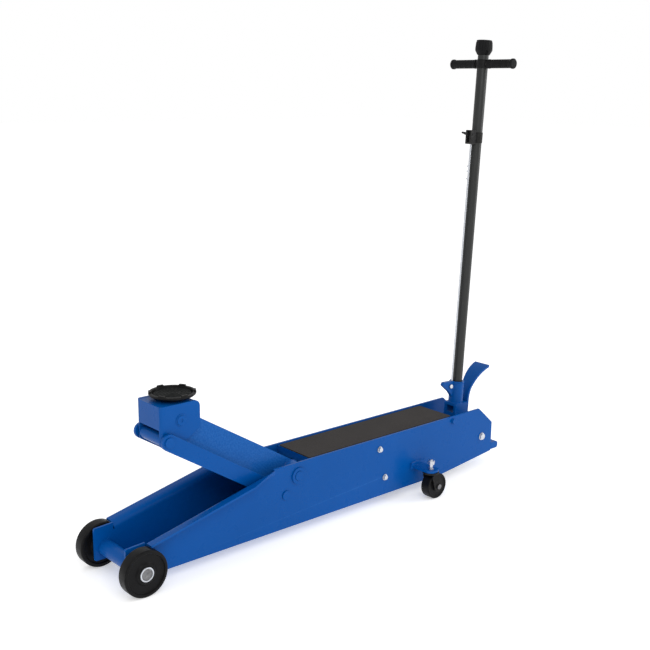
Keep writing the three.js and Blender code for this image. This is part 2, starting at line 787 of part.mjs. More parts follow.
const TUBE_AXIS = [TUBE_X, 0, 0];

function yokeBox() {
  const cheek = (y0, y1) => {
    const side = oblong(YOKE_X0, YOKE_X1, 30, YOKE_TOP, 6);
    const ear = capsule([0, 0], [YOKE_X1 - 28, 46], 18, 24);
    return join(prism("y", side, y0, y1), prism("y", ear, y0, y1), camCheek(y0, y1));
  };
  const inner = YOKE_HALF - YOKE_T;
  const weld = inner + WELD;
  return join(
    cheek(-YOKE_HALF, -inner),
    cheek(inner, YOKE_HALF),
    block([YOKE_X0 + 1, -weld, YOKE_TOP - YOKE_T], [YOKE_X1 - 1, weld, YOKE_TOP - 0.5]),
    block([YOKE_X0 + 1, -weld, 40], [YOKE_X0 + YOKE_T, weld, YOKE_TOP - 1]),
    block([YOKE_X1 - YOKE_T, -weld, 62], [YOKE_X1 - 0.5, weld, YOKE_TOP - 1]),
    bar("y", [0, 0, 0], HANDLE_SHAFT_R + 6, -PLATE_IN + 2, PLATE_IN - 2),
  );
}

// The part of a cheek that reaches down to the cam.
function camCheek(y0, y1) {
  return prism("y", capsule([0, 0], [0, -CAM_DROP], 20, CAM_R + 4), y0, y1);
}

const EAR_HALF = 6;
const EAR_BOLT = [TUBE_X - 37, 0, SOCKET_TOP - 14];
const EAR_BOLT_R = 3.5;

function latchEar() {
  const outline = rounded([
    [TUBE_X - SOCKET_R + 3, SOCKET_TOP + 2, 1],
    [TUBE_X - 70, SOCKET_TOP + 2, 5],
    [TUBE_X - 76, SOCKET_TOP - 7, 5],
    [TUBE_X - 42, SOCKET_TOP - 32, 20],
    [TUBE_X - SOCKET_R + 3, SOCKET_TOP - 56, 1],
  ]);
  return prism("y", outline, -EAR_HALF, EAR_HALF);
}

function yoke() {
  const socket = turned("z", TUBE_AXIS, [
    [0, YOKE_TOP - 4],
    [SOCKET_R, YOKE_TOP - 4],
    [SOCKET_R, SOCKET_TOP - 5],
    [SOCKET_R + 1.6, SOCKET_TOP - 4],
    [SOCKET_R + 1.6, SOCKET_TOP - 1],
    [SOCKET_R + 0.6, SOCKET_TOP],
    [0, SOCKET_TOP],
  ]);
  const cam = bar("y", [0, 0, -CAM_DROP], CAM_R, -YOKE_HALF + 1, YOKE_HALF - 1);
  const body = join(yokeBox(), socket, latchEar(), cam);
  return cut(
    body,
    bore("z", TUBE_AXIS, TUBE_R + GAP, YOKE_TOP + 4, SOCKET_TOP + 5),
    bore("z", [ROD_X, 0, 0], ROD_R + 0.6, SOCKET_TOP - 26, SOCKET_TOP + 5),
    bore("y", [0, 0, 0], HANDLE_SHAFT_R + RUN, -PLATE_IN, PLATE_IN),
    block([YOKE_X0 - 1, -15, YOKE_TOP - 34], [YOKE_X0 + YOKE_T + 1, 15, YOKE_TOP - 10]),
    bore("y", EAR_BOLT, EAR_BOLT_R + GAP, -EAR_HALF - 1, EAR_HALF + 1),
  );
}

// The bolt through the ear, in front of the rod's hole.
function earBolt() {
  const out = EAR_HALF + GAP;
  return join(
    bar("y", EAR_BOLT, EAR_BOLT_R, -out - 1, out + 1),
    bar("y", EAR_BOLT, 7.4, -out - 5, -out, ROUND, 1),
    bar("y", EAR_BOLT, 6.5, out, out + 5, 6, 1),
  );
}

function pedal() {
  const x = YOKE_X1 + GAP;
  const [bx, bz] = [x + PEDAL_T / 2 + PEDAL_BEND_R, YOKE_TOP];
  const half = PEDAL_T / 2;
  const tip = 72; // degrees the blade turns through
  const side = [
    point(x, YOKE_TOP - 44),
    point(x + PEDAL_T, YOKE_TOP - 44),
    ...arc(bx, bz, PEDAL_BEND_R - half, 180, 180 - tip, 6),
    ...arc(bx, bz, PEDAL_BEND_R + half, 180 - tip, 180, 6),
  ];
  const neck = PEDAL_HALF * 0.55;
  const high = YOKE_TOP + PEDAL_BEND_R + 10;
  const front = rounded([
    [-neck, YOKE_TOP - 60],
    [neck, YOKE_TOP - 60],
    [neck, YOKE_TOP + 40, 80],
    [PEDAL_HALF + 1, high],
    [-PEDAL_HALF - 1, high],
    [-neck, YOKE_TOP + 40, 80],
  ]);
  const end = bx - (PEDAL_BEND_R - half) * Math.cos(radians(tip));
  const plan = rounded([
    [x - 1, -PEDAL_HALF - 1],
    [end, -PEDAL_HALF, 9],
    [end, PEDAL_HALF, 9],
    [x - 1, PEDAL_HALF + 1],
  ]);
  const blade = common(prism("y", side, -PEDAL_HALF, PEDAL_HALF), prism("x", front, x - 1, x + 160));
  return common(blade, prism("z", plan, YOKE_TOP - 61, high + 1));
}

function handleTube() {
  return ring("z", TUBE_AXIS, TUBE_R - TUBE_WALL, TUBE_R, YOKE_TOP + 4 + GAP, TUBE_TOP, 24);
}

function tBar() {
  const along = (y0, y1) => bar("y", [TUBE_X, 0, TBAR_Z], TBAR_R, y0, y1);
  const collar = bar("z", TUBE_AXIS, TUBE_R + 3, TBAR_Z - 13, TBAR_Z + 13);
  const flange = (y0, y1) => bar("y", [TUBE_X, 0, TBAR_Z], GRIP_R, y0, y1);
  const body = join(
    along(-TBAR_HALF + 2, TBAR_HALF - 2),
    collar,
    flange(-TUBE_R - 10, -TUBE_R - 6),
    flange(TUBE_R + 6, TUBE_R + 10),
  );
  return cut(body, bore("z", TUBE_AXIS, TUBE_R + GAP, TBAR_Z - 20, TBAR_Z + 20));
}

function grip() {
  const r = GRIP_R;
  const hole = clear(TBAR_R + GAP);
  const [end, root] = [-TBAR_HALF, -TUBE_R - 10 - GAP];
  const profile = [
    [0, end],
    [r, end],
    [r + 1.5, end + 2],
    [r + 1.5, end + 7],
    [r - 0.5, end + 9],
    [r - 0.5, root],
    [hole, root],
    [hole, end + 1.5],
    [0, end + 1.5],
  ];
  return turned("y", [TUBE_X, 0, TBAR_Z], profile);
}

function knob() {
  const r = KNOB_R;
  const profile = [
    [0, 0],
    [r * 0.72, 0],
    [r, KNOB_H * 0.32],
    [r, KNOB_H * 0.5],
    [r * 0.9, KNOB_H],
    [0, KNOB_H],
  ];
  const body = turned("z", [TUBE_X, 0, KNOB_Z], profile, 24);
  return cut(body, bore("z", TUBE_AXIS, RELEASE_R + RUN, KNOB_Z - 1, KNOB_Z + 20));
}

function releaseRod() {
  return bar("z", TUBE_AXIS, RELEASE_R, YOKE_TOP + 10, KNOB_Z + 19.5);
}

// The clamp on the tube that holds the latch lever between two cheeks.
function latchClamp() {
  const [z0, z1] = [LATCH_Z, LATCH_Z + LATCH_H];
  const front = TUBE_X - TUBE_R - 24.5;
  const body = join(
    bar("z", TUBE_AXIS, TUBE_R + 1.6, z0 + 5, z1 - 6),
    prism("y", oblong(front, TUBE_X - TUBE_R + 4, z0, z1, 3), -11, 11),
  );
  const [px, pz] = LEVER_PIVOT;
  return cut(
    body,
    bore("z", TUBE_AXIS, TUBE_R + GAP, z0 - 1, z1 + 1),
    block([front - 1, -3.8, z0 + 6], [ROD_X + 5, 3.8, z1 + 1]),
    bore("z", [ROD_X, 0, 0], ROD_R + 0.6, z0 - 1, z0 + 8),
    bore("y", [px, 0, pz], LEVER_PIN_R + RUN, -12, 12),
  );
}

function latchLever() {
  const [px, pz] = LEVER_PIVOT;
  const blade = capsule(LEVER_PIVOT, [px - 33, pz + 6], 6, 2.6);
  const tail = capsule(LEVER_PIVOT, [ROD_X, pz + 1], 6, 4);
  return join(
    prism("y", blade, -3, 3),
    prism("y", tail, -3, 3),
    bar("y", [px, 0, pz], LEVER_PIN_R, -10.5, 10.5),
  );
}

// The long rod down the front of the tube, with its three adjusting screws.
function latchRod() {
  const top = LEVER_PIVOT[1] - LEVER_PLAY;
  const rod = bar("z", [ROD_X, 0, 0], ROD_R, SOCKET_TOP - 18, top);
  const screws = [70, 85, 109].map((drop) =>
    bar("x", [0, 0, LATCH_Z - drop], 2.4, ROD_X - 8, ROD_X, 12),
  );
  return join(rod, ...screws);
}

// ---- Assembly ----

placePair(chassis, "side_plate", sidePlate(), PAINT);
place(chassis, "floor_plate", floorPlate(), PAINT);
place(chassis, "cover_plate", coverPlate(), PAINT);
place(chassis, "tread_mat", treadMat(), MAT_GREY);
place(chassis, "rear_cross_bar", rearBar(), PAINT);
place(chassis, "front_axle", frontAxle(), DARK_STEEL);
place(chassis, "axle_tube", axleTube(), PAINT);
placePair(chassis, "axle_ring", axleRing(), STEEL);
const pivotEnd = CHASSIS_HALF + 6;
place(chassis, "arm_pivot_shaft", bar("y", spot(PIVOT), PIVOT_SHAFT_R, -pivotEnd, pivotEnd), PAINT);
placePair(chassis, "link_pin", linkPin(), PAINT);
for (const [name, at] of Object.entries(FRAME_BOLTS))
  place(chassis, "frame_bolt_" + name, frameBolt(at, FRAME_BOLT_R), STEEL);
place(chassis, "handle_pivot_shaft", frameBolt(HANDLE_PIVOT, HANDLE_SHAFT_R), STEEL);

place(chassis, "cylinder_barrel", barrel(), PAINT);
place(chassis, "valve_block", valveBlock(), DARK_STEEL);
place(chassis, "oil_reservoir", reservoir(), PAINT);
place(chassis, "pump_block", pumpBlock(), DARK_STEEL);
place(chassis, "pump_plunger", pumpPlunger(), CHROME);
place(chassis, "ram_rod", ramRod(), CHROME);
place(chassis, "ram_head", ramHead(), DARK_STEEL);

place(chassis, "lift_arm", liftArm(), PAINT);
const crankEnd = ARM_HALF - 1;
place(chassis, "crank_pin", bar("y", spot(CRANK), CRANK_PIN_R, -crankEnd, crankEnd), STEEL);
placePair(chassis, "link", link(), PAINT);
place(chassis, "link_front_shaft", linkShaft(), PAINT);
place(chassis, "saddle_bracket", headBracket(), PAINT);
place(chassis, "arm_front_pin", armPin(), PAINT);
place(chassis, "saddle", saddle(), BLACK);
place(chassis, "saddle_pad", saddlePad(), RUBBER);

placePair(chassis, "front_wheel", frontWheel(), BLACK);
placePair(chassis, "front_bearing", wheelBearing(), DARK_STEEL);
placePair(chassis, "caster_bracket", casterBracket(), PAINT);
placePair(chassis, "caster_bolt", casterBolt(), STEEL);
placePair(chassis, "caster_fork", casterFork(), BLACK);
placePair(chassis, "caster_wheel", casterWheel(), BLACK);
placePair(chassis, "caster_axle", casterAxle(), DARK_STEEL);

place(handle, "handle_yoke", yoke(), PAINT);
place(handle, "foot_pedal", pedal(), PAINT);
place(handle, "ear_bolt", earBolt(), STEEL);
place(handle, "handle_tube", handleTube(), TUBE_BLACK);
place(handle, "t_bar", tBar(), BLACK);
placePair(handle, "grip", grip(), RUBBER);
place(handle, "release_knob", knob(), BLACK);
place(handle, "release_rod", releaseRod(), STEEL);
place(handle, "latch_clamp", latchClamp(), BLACK);
place(handle, "latch_lever", latchLever(), BLACK);
place(handle, "latch_rod", latchRod(), STEEL);

handle.position.set(HANDLE_PIVOT[0], 0, HANDLE_PIVOT[1]);
handle.rotation.y = radians(HANDLE_LEAN);

// The origin is under the middle of the whole jack.
jack.updateMatrixWorld(true);
const reach = new THREE.Box3().setFromObject(jack, true);
jack.position.x = -(reach.min.x + reach.max.x) / 2;

export default jack;
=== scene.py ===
"""Looks for a long-chassis service jack: enamelled plate, cast saddle, rubber, zinc-plated fasteners."""

import json
import math

import bmesh
import bpy
from mathutils import Matrix, Vector

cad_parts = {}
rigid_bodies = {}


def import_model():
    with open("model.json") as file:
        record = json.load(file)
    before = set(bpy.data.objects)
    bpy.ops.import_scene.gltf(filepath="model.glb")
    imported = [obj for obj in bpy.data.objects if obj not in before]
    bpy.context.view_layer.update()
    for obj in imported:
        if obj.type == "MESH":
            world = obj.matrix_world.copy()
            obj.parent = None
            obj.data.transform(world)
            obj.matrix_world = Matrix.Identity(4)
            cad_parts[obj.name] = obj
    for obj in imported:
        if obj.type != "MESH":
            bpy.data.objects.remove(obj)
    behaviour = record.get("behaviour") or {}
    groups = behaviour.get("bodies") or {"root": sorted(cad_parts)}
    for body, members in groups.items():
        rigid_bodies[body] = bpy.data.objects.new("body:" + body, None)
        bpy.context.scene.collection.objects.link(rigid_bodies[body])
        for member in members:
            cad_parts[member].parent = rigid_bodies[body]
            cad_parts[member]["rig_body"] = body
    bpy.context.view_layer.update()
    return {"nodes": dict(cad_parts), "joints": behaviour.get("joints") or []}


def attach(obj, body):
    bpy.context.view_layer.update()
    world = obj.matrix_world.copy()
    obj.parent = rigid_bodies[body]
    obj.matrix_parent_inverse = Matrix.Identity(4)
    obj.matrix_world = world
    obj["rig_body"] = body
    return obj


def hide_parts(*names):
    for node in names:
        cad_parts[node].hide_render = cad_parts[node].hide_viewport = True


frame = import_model()
nodes = frame["nodes"]
joints = {j["name"]: j for j in frame["joints"]}
scene = bpy.context.scene

MM = 0.001
FINE = 96  # sides of a large round piece
MEDIUM = 72  # sides of a grip, a hexagon or a bar
SMALL = 48  # sides of a small round piece
X, Y, Z = Vector((1, 0, 0)), Vector((0, 1, 0)), Vector((0, 0, 1))
SIDES = (("left", -1), ("right", 1))  # each side's name and its sign along Y


# ---- Materials ----


class Shading:
    """A node material that starts as one Principled shader."""

    def __init__(self, name, color, roughness, metallic=0.0, **sockets):
        self.made = bpy.data.materials.new(name)
        self.made.use_nodes = True
        self.made.diffuse_color = (*color, 1)
        self.tree = self.made.node_tree
        self.shader = self.tree.nodes["Principled BSDF"]
        values = {"Base Color": (*color, 1), "Roughness": roughness, "Metallic": metallic, **sockets}
        for socket, value in values.items():
            self.shader.inputs[socket].default_value = value
        self.where = self.node("ShaderNodeTexCoord").outputs["Object"]
        self.color, self.roughness = color, roughness

    def node(self, kind, inputs=(), **settings):
        made = self.tree.nodes.new(kind)
        for name, value in settings.items():
            setattr(made, name, value)
        for socket, value in dict(inputs).items():
            if hasattr(value, "is_output"):
                self.tree.links.new(value, made.inputs[socket])
            else:
                made.inputs[socket].default_value = value
        return made

    def stretched(self, scale):
        mapping = self.node("ShaderNodeMapping", {"Vector": self.where, "Scale": scale})
        return mapping.outputs["Vector"]

    def noise(self, scale, detail=3.0, roughness=0.5, vector=None):
        inputs = {
            "Vector": vector or self.where,
            "Scale": scale,
            "Detail": detail,
            "Roughness": roughness,
        }
        return self.node("ShaderNodeTexNoise", inputs).outputs["Fac"]

    def cells(self, scale, feature="F1", vector=None):
        inputs = {"Vector": vector or self.where, "Scale": scale}
        return self.node("ShaderNodeTexVoronoi", inputs, feature=feature).outputs["Distance"]

    def spread(self, value, from_low, from_high, low, high):
        """A value between two limits, stretched to two others."""
        inputs = {"Value": value, "From Min": from_low, "From Max": from_high, "To Min": low, "To Max": high}
        return self.node("ShaderNodeMapRange", inputs).outputs["Result"]

    def times(self, a, b):
        return self.node("ShaderNodeMath", {0: a, 1: b}, operation="MULTIPLY").outputs[0]

    def plus(self, a, b):
        return self.node("ShaderNodeMath", {0: a, 1: b}, operation="ADD").outputs[0]

    def mixed(self, share, a, b):
        """One colour changing to another as share goes from 0 to 1."""
        made = self.node("ShaderNodeMix", data_type="RGBA")
        for socket, value in ((0, share), (6, a), (7, b)):
            if hasattr(value, "is_output"):
                self.tree.links.new(value, made.inputs[socket])
            else:
                made.inputs[socket].default_value = (*value, 1)
        return made.outputs[2]

    def edges(self, low, high):
        """Close to 1 on worn outer edges, and 0 on the flats."""
        pointed = self.node("ShaderNodeNewGeometry").outputs["Pointiness"]
        return self.spread(pointed, low, high, 0, 1)

    def set_color(self, output):
        self.tree.links.new(output, self.shader.inputs["Base Color"])

    def set_roughness(self, output):
        self.tree.links.new(output, self.shader.inputs["Roughness"])

    def bump(self, *layers):
        """Layers of (height, depth in metres), laid one on the other."""
        last = None
        for height, depth in layers:
            inputs = {"Height": height, "Distance": depth, "Strength": 1.0}
            if last:
                inputs["Normal"] = last
            last = self.node("ShaderNodeBump", inputs).outputs["Normal"]
        self.tree.links.new(last, self.shader.inputs["Normal"])


def tint(color, factor):
    return tuple(min(1.0, c * factor) for c in color)


def enamel():
    """Gloss enamel over mill plate: slow drifts of shade, orange peel, thin and dull along the edges."""
    gloss = {"Specular IOR Level": 0.08, "Coat Weight": 0.06, "Coat Roughness": 0.14}
    s = Shading("blue_enamel", (0.0, 0.073, 0.31), 0.32, **gloss)
    drift = s.spread(s.noise(4, 4), 0.3, 0.7, 0, 1)
    base = s.mixed(drift, tint(s.color, 0.93), tint(s.color, 1.06))
    dust = s.spread(s.noise(90, 8, 0.65), 0.52, 0.85, 0, 0.1)
    base = s.mixed(dust, base, (0.006, 0.1, 0.36))
    worn = s.times(s.edges(0.53, 0.62), s.spread(s.noise(220, 4), 0.35, 0.65, 0.05, 0.4))
    s.set_color(s.mixed(worn, base, (0.03, 0.16, 0.48)))
    s.set_roughness(s.plus(s.spread(s.noise(26, 5), 0.3, 0.7, 0.24, 0.36), s.times(worn, 0.2)))
    s.bump((s.noise(420, 2), 0.00004), (s.noise(30, 2), 0.00012))
    return s.made


def weld_enamel():
    """The same enamel over the coarser skin of a weld."""
    gloss = {"Specular IOR Level": 0.1, "Coat Weight": 0.08, "Coat Roughness": 0.12}
    s = Shading("weld_enamel", (0.0, 0.07, 0.3), 0.3, **gloss)
    base = s.mixed(s.spread(s.noise(150, 3), 0.3, 0.7, 0, 1), tint(s.color, 0.88), tint(s.color, 1.1))
    s.set_color(base)
    s.set_roughness(s.spread(s.noise(300, 3), 0.3, 0.7, 0.22, 0.36))
    s.bump((s.noise(700, 3), 0.00012))
    return s.made


def cast_iron():
    """Black-painted sand casting, rubbed towards grey on its high edges."""
    s = Shading("black_casting", (0.005, 0.005, 0.0055), 0.45, **{"Specular IOR Level": 0.12})
    worn = s.times(s.edges(0.51, 0.6), s.spread(s.noise(160, 5), 0.35, 0.65, 0.15, 0.9))
    base = s.mixed(s.spread(s.noise(40, 5), 0.3, 0.7, 0, 1), tint(s.color, 0.75), tint(s.color, 1.5))
    s.set_color(s.mixed(worn, base, (0.045, 0.044, 0.04)))
    s.set_roughness(s.spread(s.noise(90, 5), 0.3, 0.7, 0.34, 0.52))
    s.bump((s.cells(650), 0.0001), (s.noise(240, 5, 0.6), 0.00025))
    return s.made


def wheel_black():
    """Moulded black wheel with a turned sheen and scuffs on the tread."""
    s = Shading("black_moulding", (0.004, 0.004, 0.0045), 0.42, **{"Specular IOR Level": 0.12})
    base = s.mixed(s.spread(s.noise(30, 4), 0.3, 0.7, 0, 1), tint(s.color, 0.8), tint(s.color, 1.45))
    scuff = s.times(s.edges(0.51, 0.57), s.spread(s.noise(120, 6, 0.7), 0.45, 0.7, 0, 0.7))
    s.set_color(s.mixed(scuff, base, (0.035, 0.034, 0.032)))
    s.set_roughness(s.spread(s.noise(70, 6, 0.6), 0.3, 0.7, 0.3, 0.5))
    s.bump((s.noise(900, 3), 0.00005), (s.noise(120, 3), 0.00012))
    return s.made


def tube_paint():
    """Charcoal paint on drawn tube: faint streaks along its length."""
    gloss = {"Specular IOR Level": 0.3, "Coat Weight": 0.05, "Coat Roughness": 0.2}
    s = Shading("black_tube_paint", (0.018, 0.019, 0.0185), 0.36, **gloss)
    streaks = s.noise(1, 5, 0.6, s.stretched((400, 400, 5)))
    s.set_color(s.mixed(s.spread(streaks, 0.3, 0.7, 0, 1), tint(s.color, 0.8), tint(s.color, 1.3)))
    s.set_roughness(s.spread(s.noise(50, 5), 0.3, 0.7, 0.3, 0.46))
    s.bump((streaks, 0.00005), (s.noise(500, 2), 0.00003))
    return s.made


def grip_rubber():
    """Black grip rubber with a fine matt grain."""
    soft = {"Specular IOR Level": 0.12, "Sheen Weight": 0.02, "Sheen Roughness": 0.5}
    s = Shading("black_rubber", (0.005, 0.005, 0.0055), 0.6, **soft)
    s.set_color(s.mixed(s.spread(s.noise(80, 5), 0.3, 0.7, 0, 1), tint(s.color, 0.8), tint(s.color, 1.6)))
    s.set_roughness(s.spread(s.noise(200, 4), 0.3, 0.7, 0.5, 0.72))
    s.bump((s.cells(1800), 0.00006), (s.noise(900, 3), 0.00004))
    return s.made


def tread_rubber():
    """The cover's anti-slip mat: warm grey rubber with a pebbled skin."""
    soft = {"Specular IOR Level": 0.12, "Sheen Weight": 0.03, "Sheen Roughness": 0.6}
    s = Shading("tread_rubber", (0.031, 0.027, 0.026), 0.86, **soft)
    base = s.mixed(s.spread(s.noise(9, 5), 0.3, 0.7, 0, 1), tint(s.color, 0.88), tint(s.color, 1.12))
    grit = s.spread(s.cells(420), 0.05, 0.45, 0.25, 0)
    s.set_color(s.mixed(grit, base, (0.06, 0.056, 0.05)))
    s.set_roughness(s.spread(s.noise(300, 3), 0.3, 0.7, 0.78, 0.94))
    s.bump((s.cells(420), 0.0005), (s.noise(1500, 3), 0.0001))
    return s.made


def saddle_rubber():
    """The saddle's pad: dense dark rubber."""
    s = Shading("saddle_rubber", (0.003, 0.0038, 0.0038), 0.62, **{"Specular IOR Level": 0.1})
    s.set_color(s.mixed(s.spread(s.noise(60, 6), 0.3, 0.7, 0, 1), tint(s.color, 0.8), tint(s.color, 1.7)))
    s.set_roughness(s.spread(s.noise(140, 4), 0.3, 0.7, 0.52, 0.74))
    s.bump((s.noise(500, 4), 0.0001))
    return s.made


def zinc():
    """Bright zinc plate with light handling marks."""
    s = Shading("zinc_plate", (0.58, 0.6, 0.64), 0.28, 1.0)
    base = s.mixed(s.spread(s.noise(120, 5), 0.3, 0.7, 0, 1), tint(s.color, 0.85), tint(s.color, 1.08))
    s.set_color(base)
    marks = s.noise(1, 5, 0.6, s.stretched((900, 900, 160)))
    s.set_roughness(s.spread(marks, 0.3, 0.7, 0.18, 0.38))
    s.bump((marks, 0.00003))
    return s.made


def turned_steel():
    """Bare turned steel, a little oily, with tool marks round its axis."""
    s = Shading("turned_steel", (0.2, 0.2, 0.205), 0.38, 1.0)
    base = s.mixed(s.spread(s.noise(150, 5), 0.3, 0.7, 0, 1), tint(s.color, 0.7), tint(s.color, 1.15))
    s.set_color(base)
    s.set_roughness(s.spread(s.noise(400, 4), 0.3, 0.7, 0.28, 0.48))
    s.bump((s.noise(1600, 2), 0.00003))
    return s.made


def chrome():
    s = Shading("chrome", (0.85, 0.86, 0.87), 0.08, 1.0)
    s.set_roughness(s.spread(s.noise(300, 4), 0.3, 0.7, 0.05, 0.14))
    s.bump((s.noise(60, 2), 0.00002))
    return s.made


MOULDED = wheel_black()

# Each finish: its material and the record's slot.
FINISH = {
    "enamel": (enamel(), "blue_paint"),
    "weld": (weld_enamel(), "blue_paint"),
    "casting": (cast_iron(), "black_iron"),
    "wheel": (MOULDED, "black_iron"),
    "plastic": (MOULDED, "black_plastic"),
    "tube": (tube_paint(), "black_tube"),
    "rubber": (grip_rubber(), "black_rubber"),
    "tread": (tread_rubber(), "tread_rubber"),
    "pad": (saddle_rubber(), "black_rubber"),
    "zinc": (zinc(), "bright_steel"),
    "steel": (turned_steel(), "dark_steel"),
    "chrome": (chrome(), "chrome"),
}

# The finish of each CAD node by how its name starts, the first match winning.
NODE_FINISH = [
    ("tread_mat", "tread"),
    ("front_axle", "steel"),
    ("axle_ring", "zinc"),
    ("frame_bolt", "zinc"),
    ("handle_pivot_shaft", "zinc"),
    ("ear_bolt", "zinc"),
    ("crank_pin", "zinc"),
    ("caster_bolt", "zinc"),
    ("caster_axle", "steel"),
    ("caster_fork", "casting"),
    ("caster_wheel", "wheel"),
    ("front_wheel", "wheel"),
    ("front_bearing", "steel"),
    ("valve_block", "steel"),
    ("pump_block", "steel"),
    ("pump_plunger", "chrome"),
    ("ram_rod", "chrome"),
    ("ram_head", "steel"),
    ("saddle_pad", "pad"),
    ("saddle_bracket", "enamel"),
    ("saddle", "casting"),
    ("handle_tube", "tube"),
    ("t_bar", "casting"),
    ("grip", "rubber"),
    ("release_knob", "plastic"),
    ("release_rod", "zinc"),
    ("latch_rod", "zinc"),
    ("latch", "casting"),
]


def finish_of(node):
    return next((finish for start, finish in NODE_FINISH if node.startswith(start)), "enamel")


# ---- The CAD nodes that stay ----

EDGE = {"side_plate": 0.8, "lift_arm": 1.2, "saddle_bracket": 1.4, "handle_yoke": 1.2, "tread_mat": 1.2}
EDGE_ELSEWHERE = 0.6  # mm
FLAT_ANGLE = 0.5  # degrees, below which two faces count as one
SHARP_ANGLE = 32  # degrees, above which an edge is bevelled


def dress(name, node):
    """Gives a CAD node its material and softens its edges."""
    material, _ = FINISH[finish_of(name)]
    node.data.materials.clear()
    node.data.materials.append(material)
    node.data.polygons.foreach_set("use_smooth", [True] * len(node.data.polygons))
    width = next((w for start, w in EDGE.items() if name.startswith(start)), EDGE_ELSEWHERE)
    weld = node.modifiers.new("weld", "WELD")
    weld.merge_threshold = 0.02 * MM
    flat = node.modifiers.new("flat", "DECIMATE")
    flat.decimate_type = "DISSOLVE"
    flat.angle_limit = math.radians(FLAT_ANGLE)
    bevel = node.modifiers.new("edges", "BEVEL")
    bevel.width = width * MM
    bevel.segments = 3
    bevel.limit_method = "ANGLE"
    bevel.angle_limit = math.radians(SHARP_ANGLE)
    bevel.harden_normals = True
    normals = node.modifiers.new("normals", "WEIGHTED_NORMAL")
    normals.keep_sharp = True


for name, node in nodes.items():
    dress(name, node)


# ---- Where things are ----


def axes(origin, z, x):
    """A frame at origin with its Z and X along those directions."""
    z = Vector(z).normalized()
    y = z.cross(Vector(x)).normalized()
    x = y.cross(z)
    turn = Matrix((x, y, z)).transposed().to_4x4()
    return Matrix.Translation(Vector(origin)) @ turn


def extent(node, within=Matrix.Identity(4)):
    """A CAD node's lowest and highest corner in a frame of the row."""
    back = within.inverted()
    points = [back @ v.co for v in nodes[node].data.vertices]
    low = Vector(min(p[i] for p in points) for i in range(3))
    high = Vector(max(p[i] for p in points) for i in range(3))
    return low, high


def body_of(node):
    return nodes[node]["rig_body"]


# The handle's own frame: its origin on the handle's pivot and Z along the tube.
HANDLE = axes(joints["handle_pump"]["pos_m"], joints["release_turn"]["axis"], X)


# ---- Shapes ----


def softened(corners, steps=5):
    """A profile through corners (radius, height, fillet) in mm, each fillet drawn as an arc, in metres."""
    points = []
    count = len(corners)
    closed = corners[0][:2] == corners[-1][:2]
    ring = corners[:-1] if closed else corners
    for i, corner in enumerate(ring):
        here = Vector(corner[:2])
        fillet = corner[2] if len(corner) > 2 else 0
        if not fillet or (not closed and i in (0, count - 1)):
            points.append(here)
            continue
        before = Vector(ring[i - 1][:2]) - here
        after = Vector(ring[(i + 1) % len(ring)][:2]) - here
        half = before.angle(after) / 2
        reach = min(fillet / math.tan(half), 0.48 * before.length, 0.48 * after.length)
        a, b = here + before.normalized() * reach, here + after.normalized() * reach
        for k in range(steps + 1):
            t = k / steps
            points.append(a * (1 - t) ** 2 + here * 2 * t * (1 - t) + b * t**2)
    if closed:
        points.append(points[0])
    return [(p.x * MM, p.y * MM) for p in points]


def lathe(profile, sides=FINE, radius=None):
    """A turned mesh about Z from (radius, height) points. radius(angle, r, height) may change a point's r."""
    bm = bmesh.new()
    closed = profile[0] == profile[-1]
    rings = []
    for r, h in profile[:-1] if closed else profile:
        if r < 1e-7:
            rings.append([bm.verts.new((0, 0, h))])
            continue
        turn = [2 * math.pi * i / sides for i in range(sides)]
        reach = [radius(a, r, h) if radius else r for a in turn]
        rings.append([bm.verts.new((q * math.cos(a), q * math.sin(a), h)) for a, q in zip(turn, reach)])
    if closed:
        rings.append(rings[0])
    for low, high in zip(rings, rings[1:]):
        for i in range(sides):
            k = (i + 1) % sides
            corners = [low[i % len(low)], low[k % len(low)], high[k % len(high)], high[i % len(high)]]
            face = list(dict.fromkeys(corners))
            if len(face) > 2:
                bm.faces.new(face)
    bmesh.ops.recalc_face_normals(bm, faces=bm.faces)
    return bm


def slab(outline, low, high):
    """An outline of (x, y) points in metres, made thick from one height to another."""
    bm = bmesh.new()
    base = [bm.verts.new((x, y, low)) for x, y in outline]
    top = [bm.verts.new((x, y, high)) for x, y in outline]
    bm.faces.new(list(reversed(base)))
    bm.faces.new(top)
    for i in range(len(outline)):
        k = (i + 1) % len(outline)
        bm.faces.new((base[i], base[k], top[k], top[i]))
    bmesh.ops.recalc_face_normals(bm, faces=bm.faces)
    return bm


def put(name, bm, finish, body, at=Matrix.Identity(4), replaces=(), angle=35):
    """Makes a mesh a piece of the object: its place, finish and body."""
    mesh = bpy.data.meshes.new(name)
    bm.to_mesh(mesh)
    bm.free()
    mesh.transform(at)
    material, slot = FINISH[finish]
    mesh.materials.append(material)
    piece = bpy.data.objects.new(name, mesh)
    scene.collection.objects.link(piece)
    mesh.polygons.foreach_set("use_smooth", [True] * len(mesh.polygons))
    mesh.set_sharp_from_angle(angle=math.radians(angle))
    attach(piece, body)
    if replaces:
        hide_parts(*replaces)
    return piece


def merged(*parts):
    """Several meshes as one, each given with its place."""
    whole = bmesh.new()
    for bm, at in parts:
        mesh = bpy.data.meshes.new("part")
        bm.to_mesh(mesh)
        bm.free()
        mesh.transform(at)
        whole.from_mesh(mesh)
        bpy.data.meshes.remove(mesh)
    return whole


def slide(x=0.0, y=0.0, z=0.0):
    return Matrix.Translation((x, y, z))


HALF_TURN = Matrix.Rotation(math.pi, 4, "X")


# ---- Fasteners ----


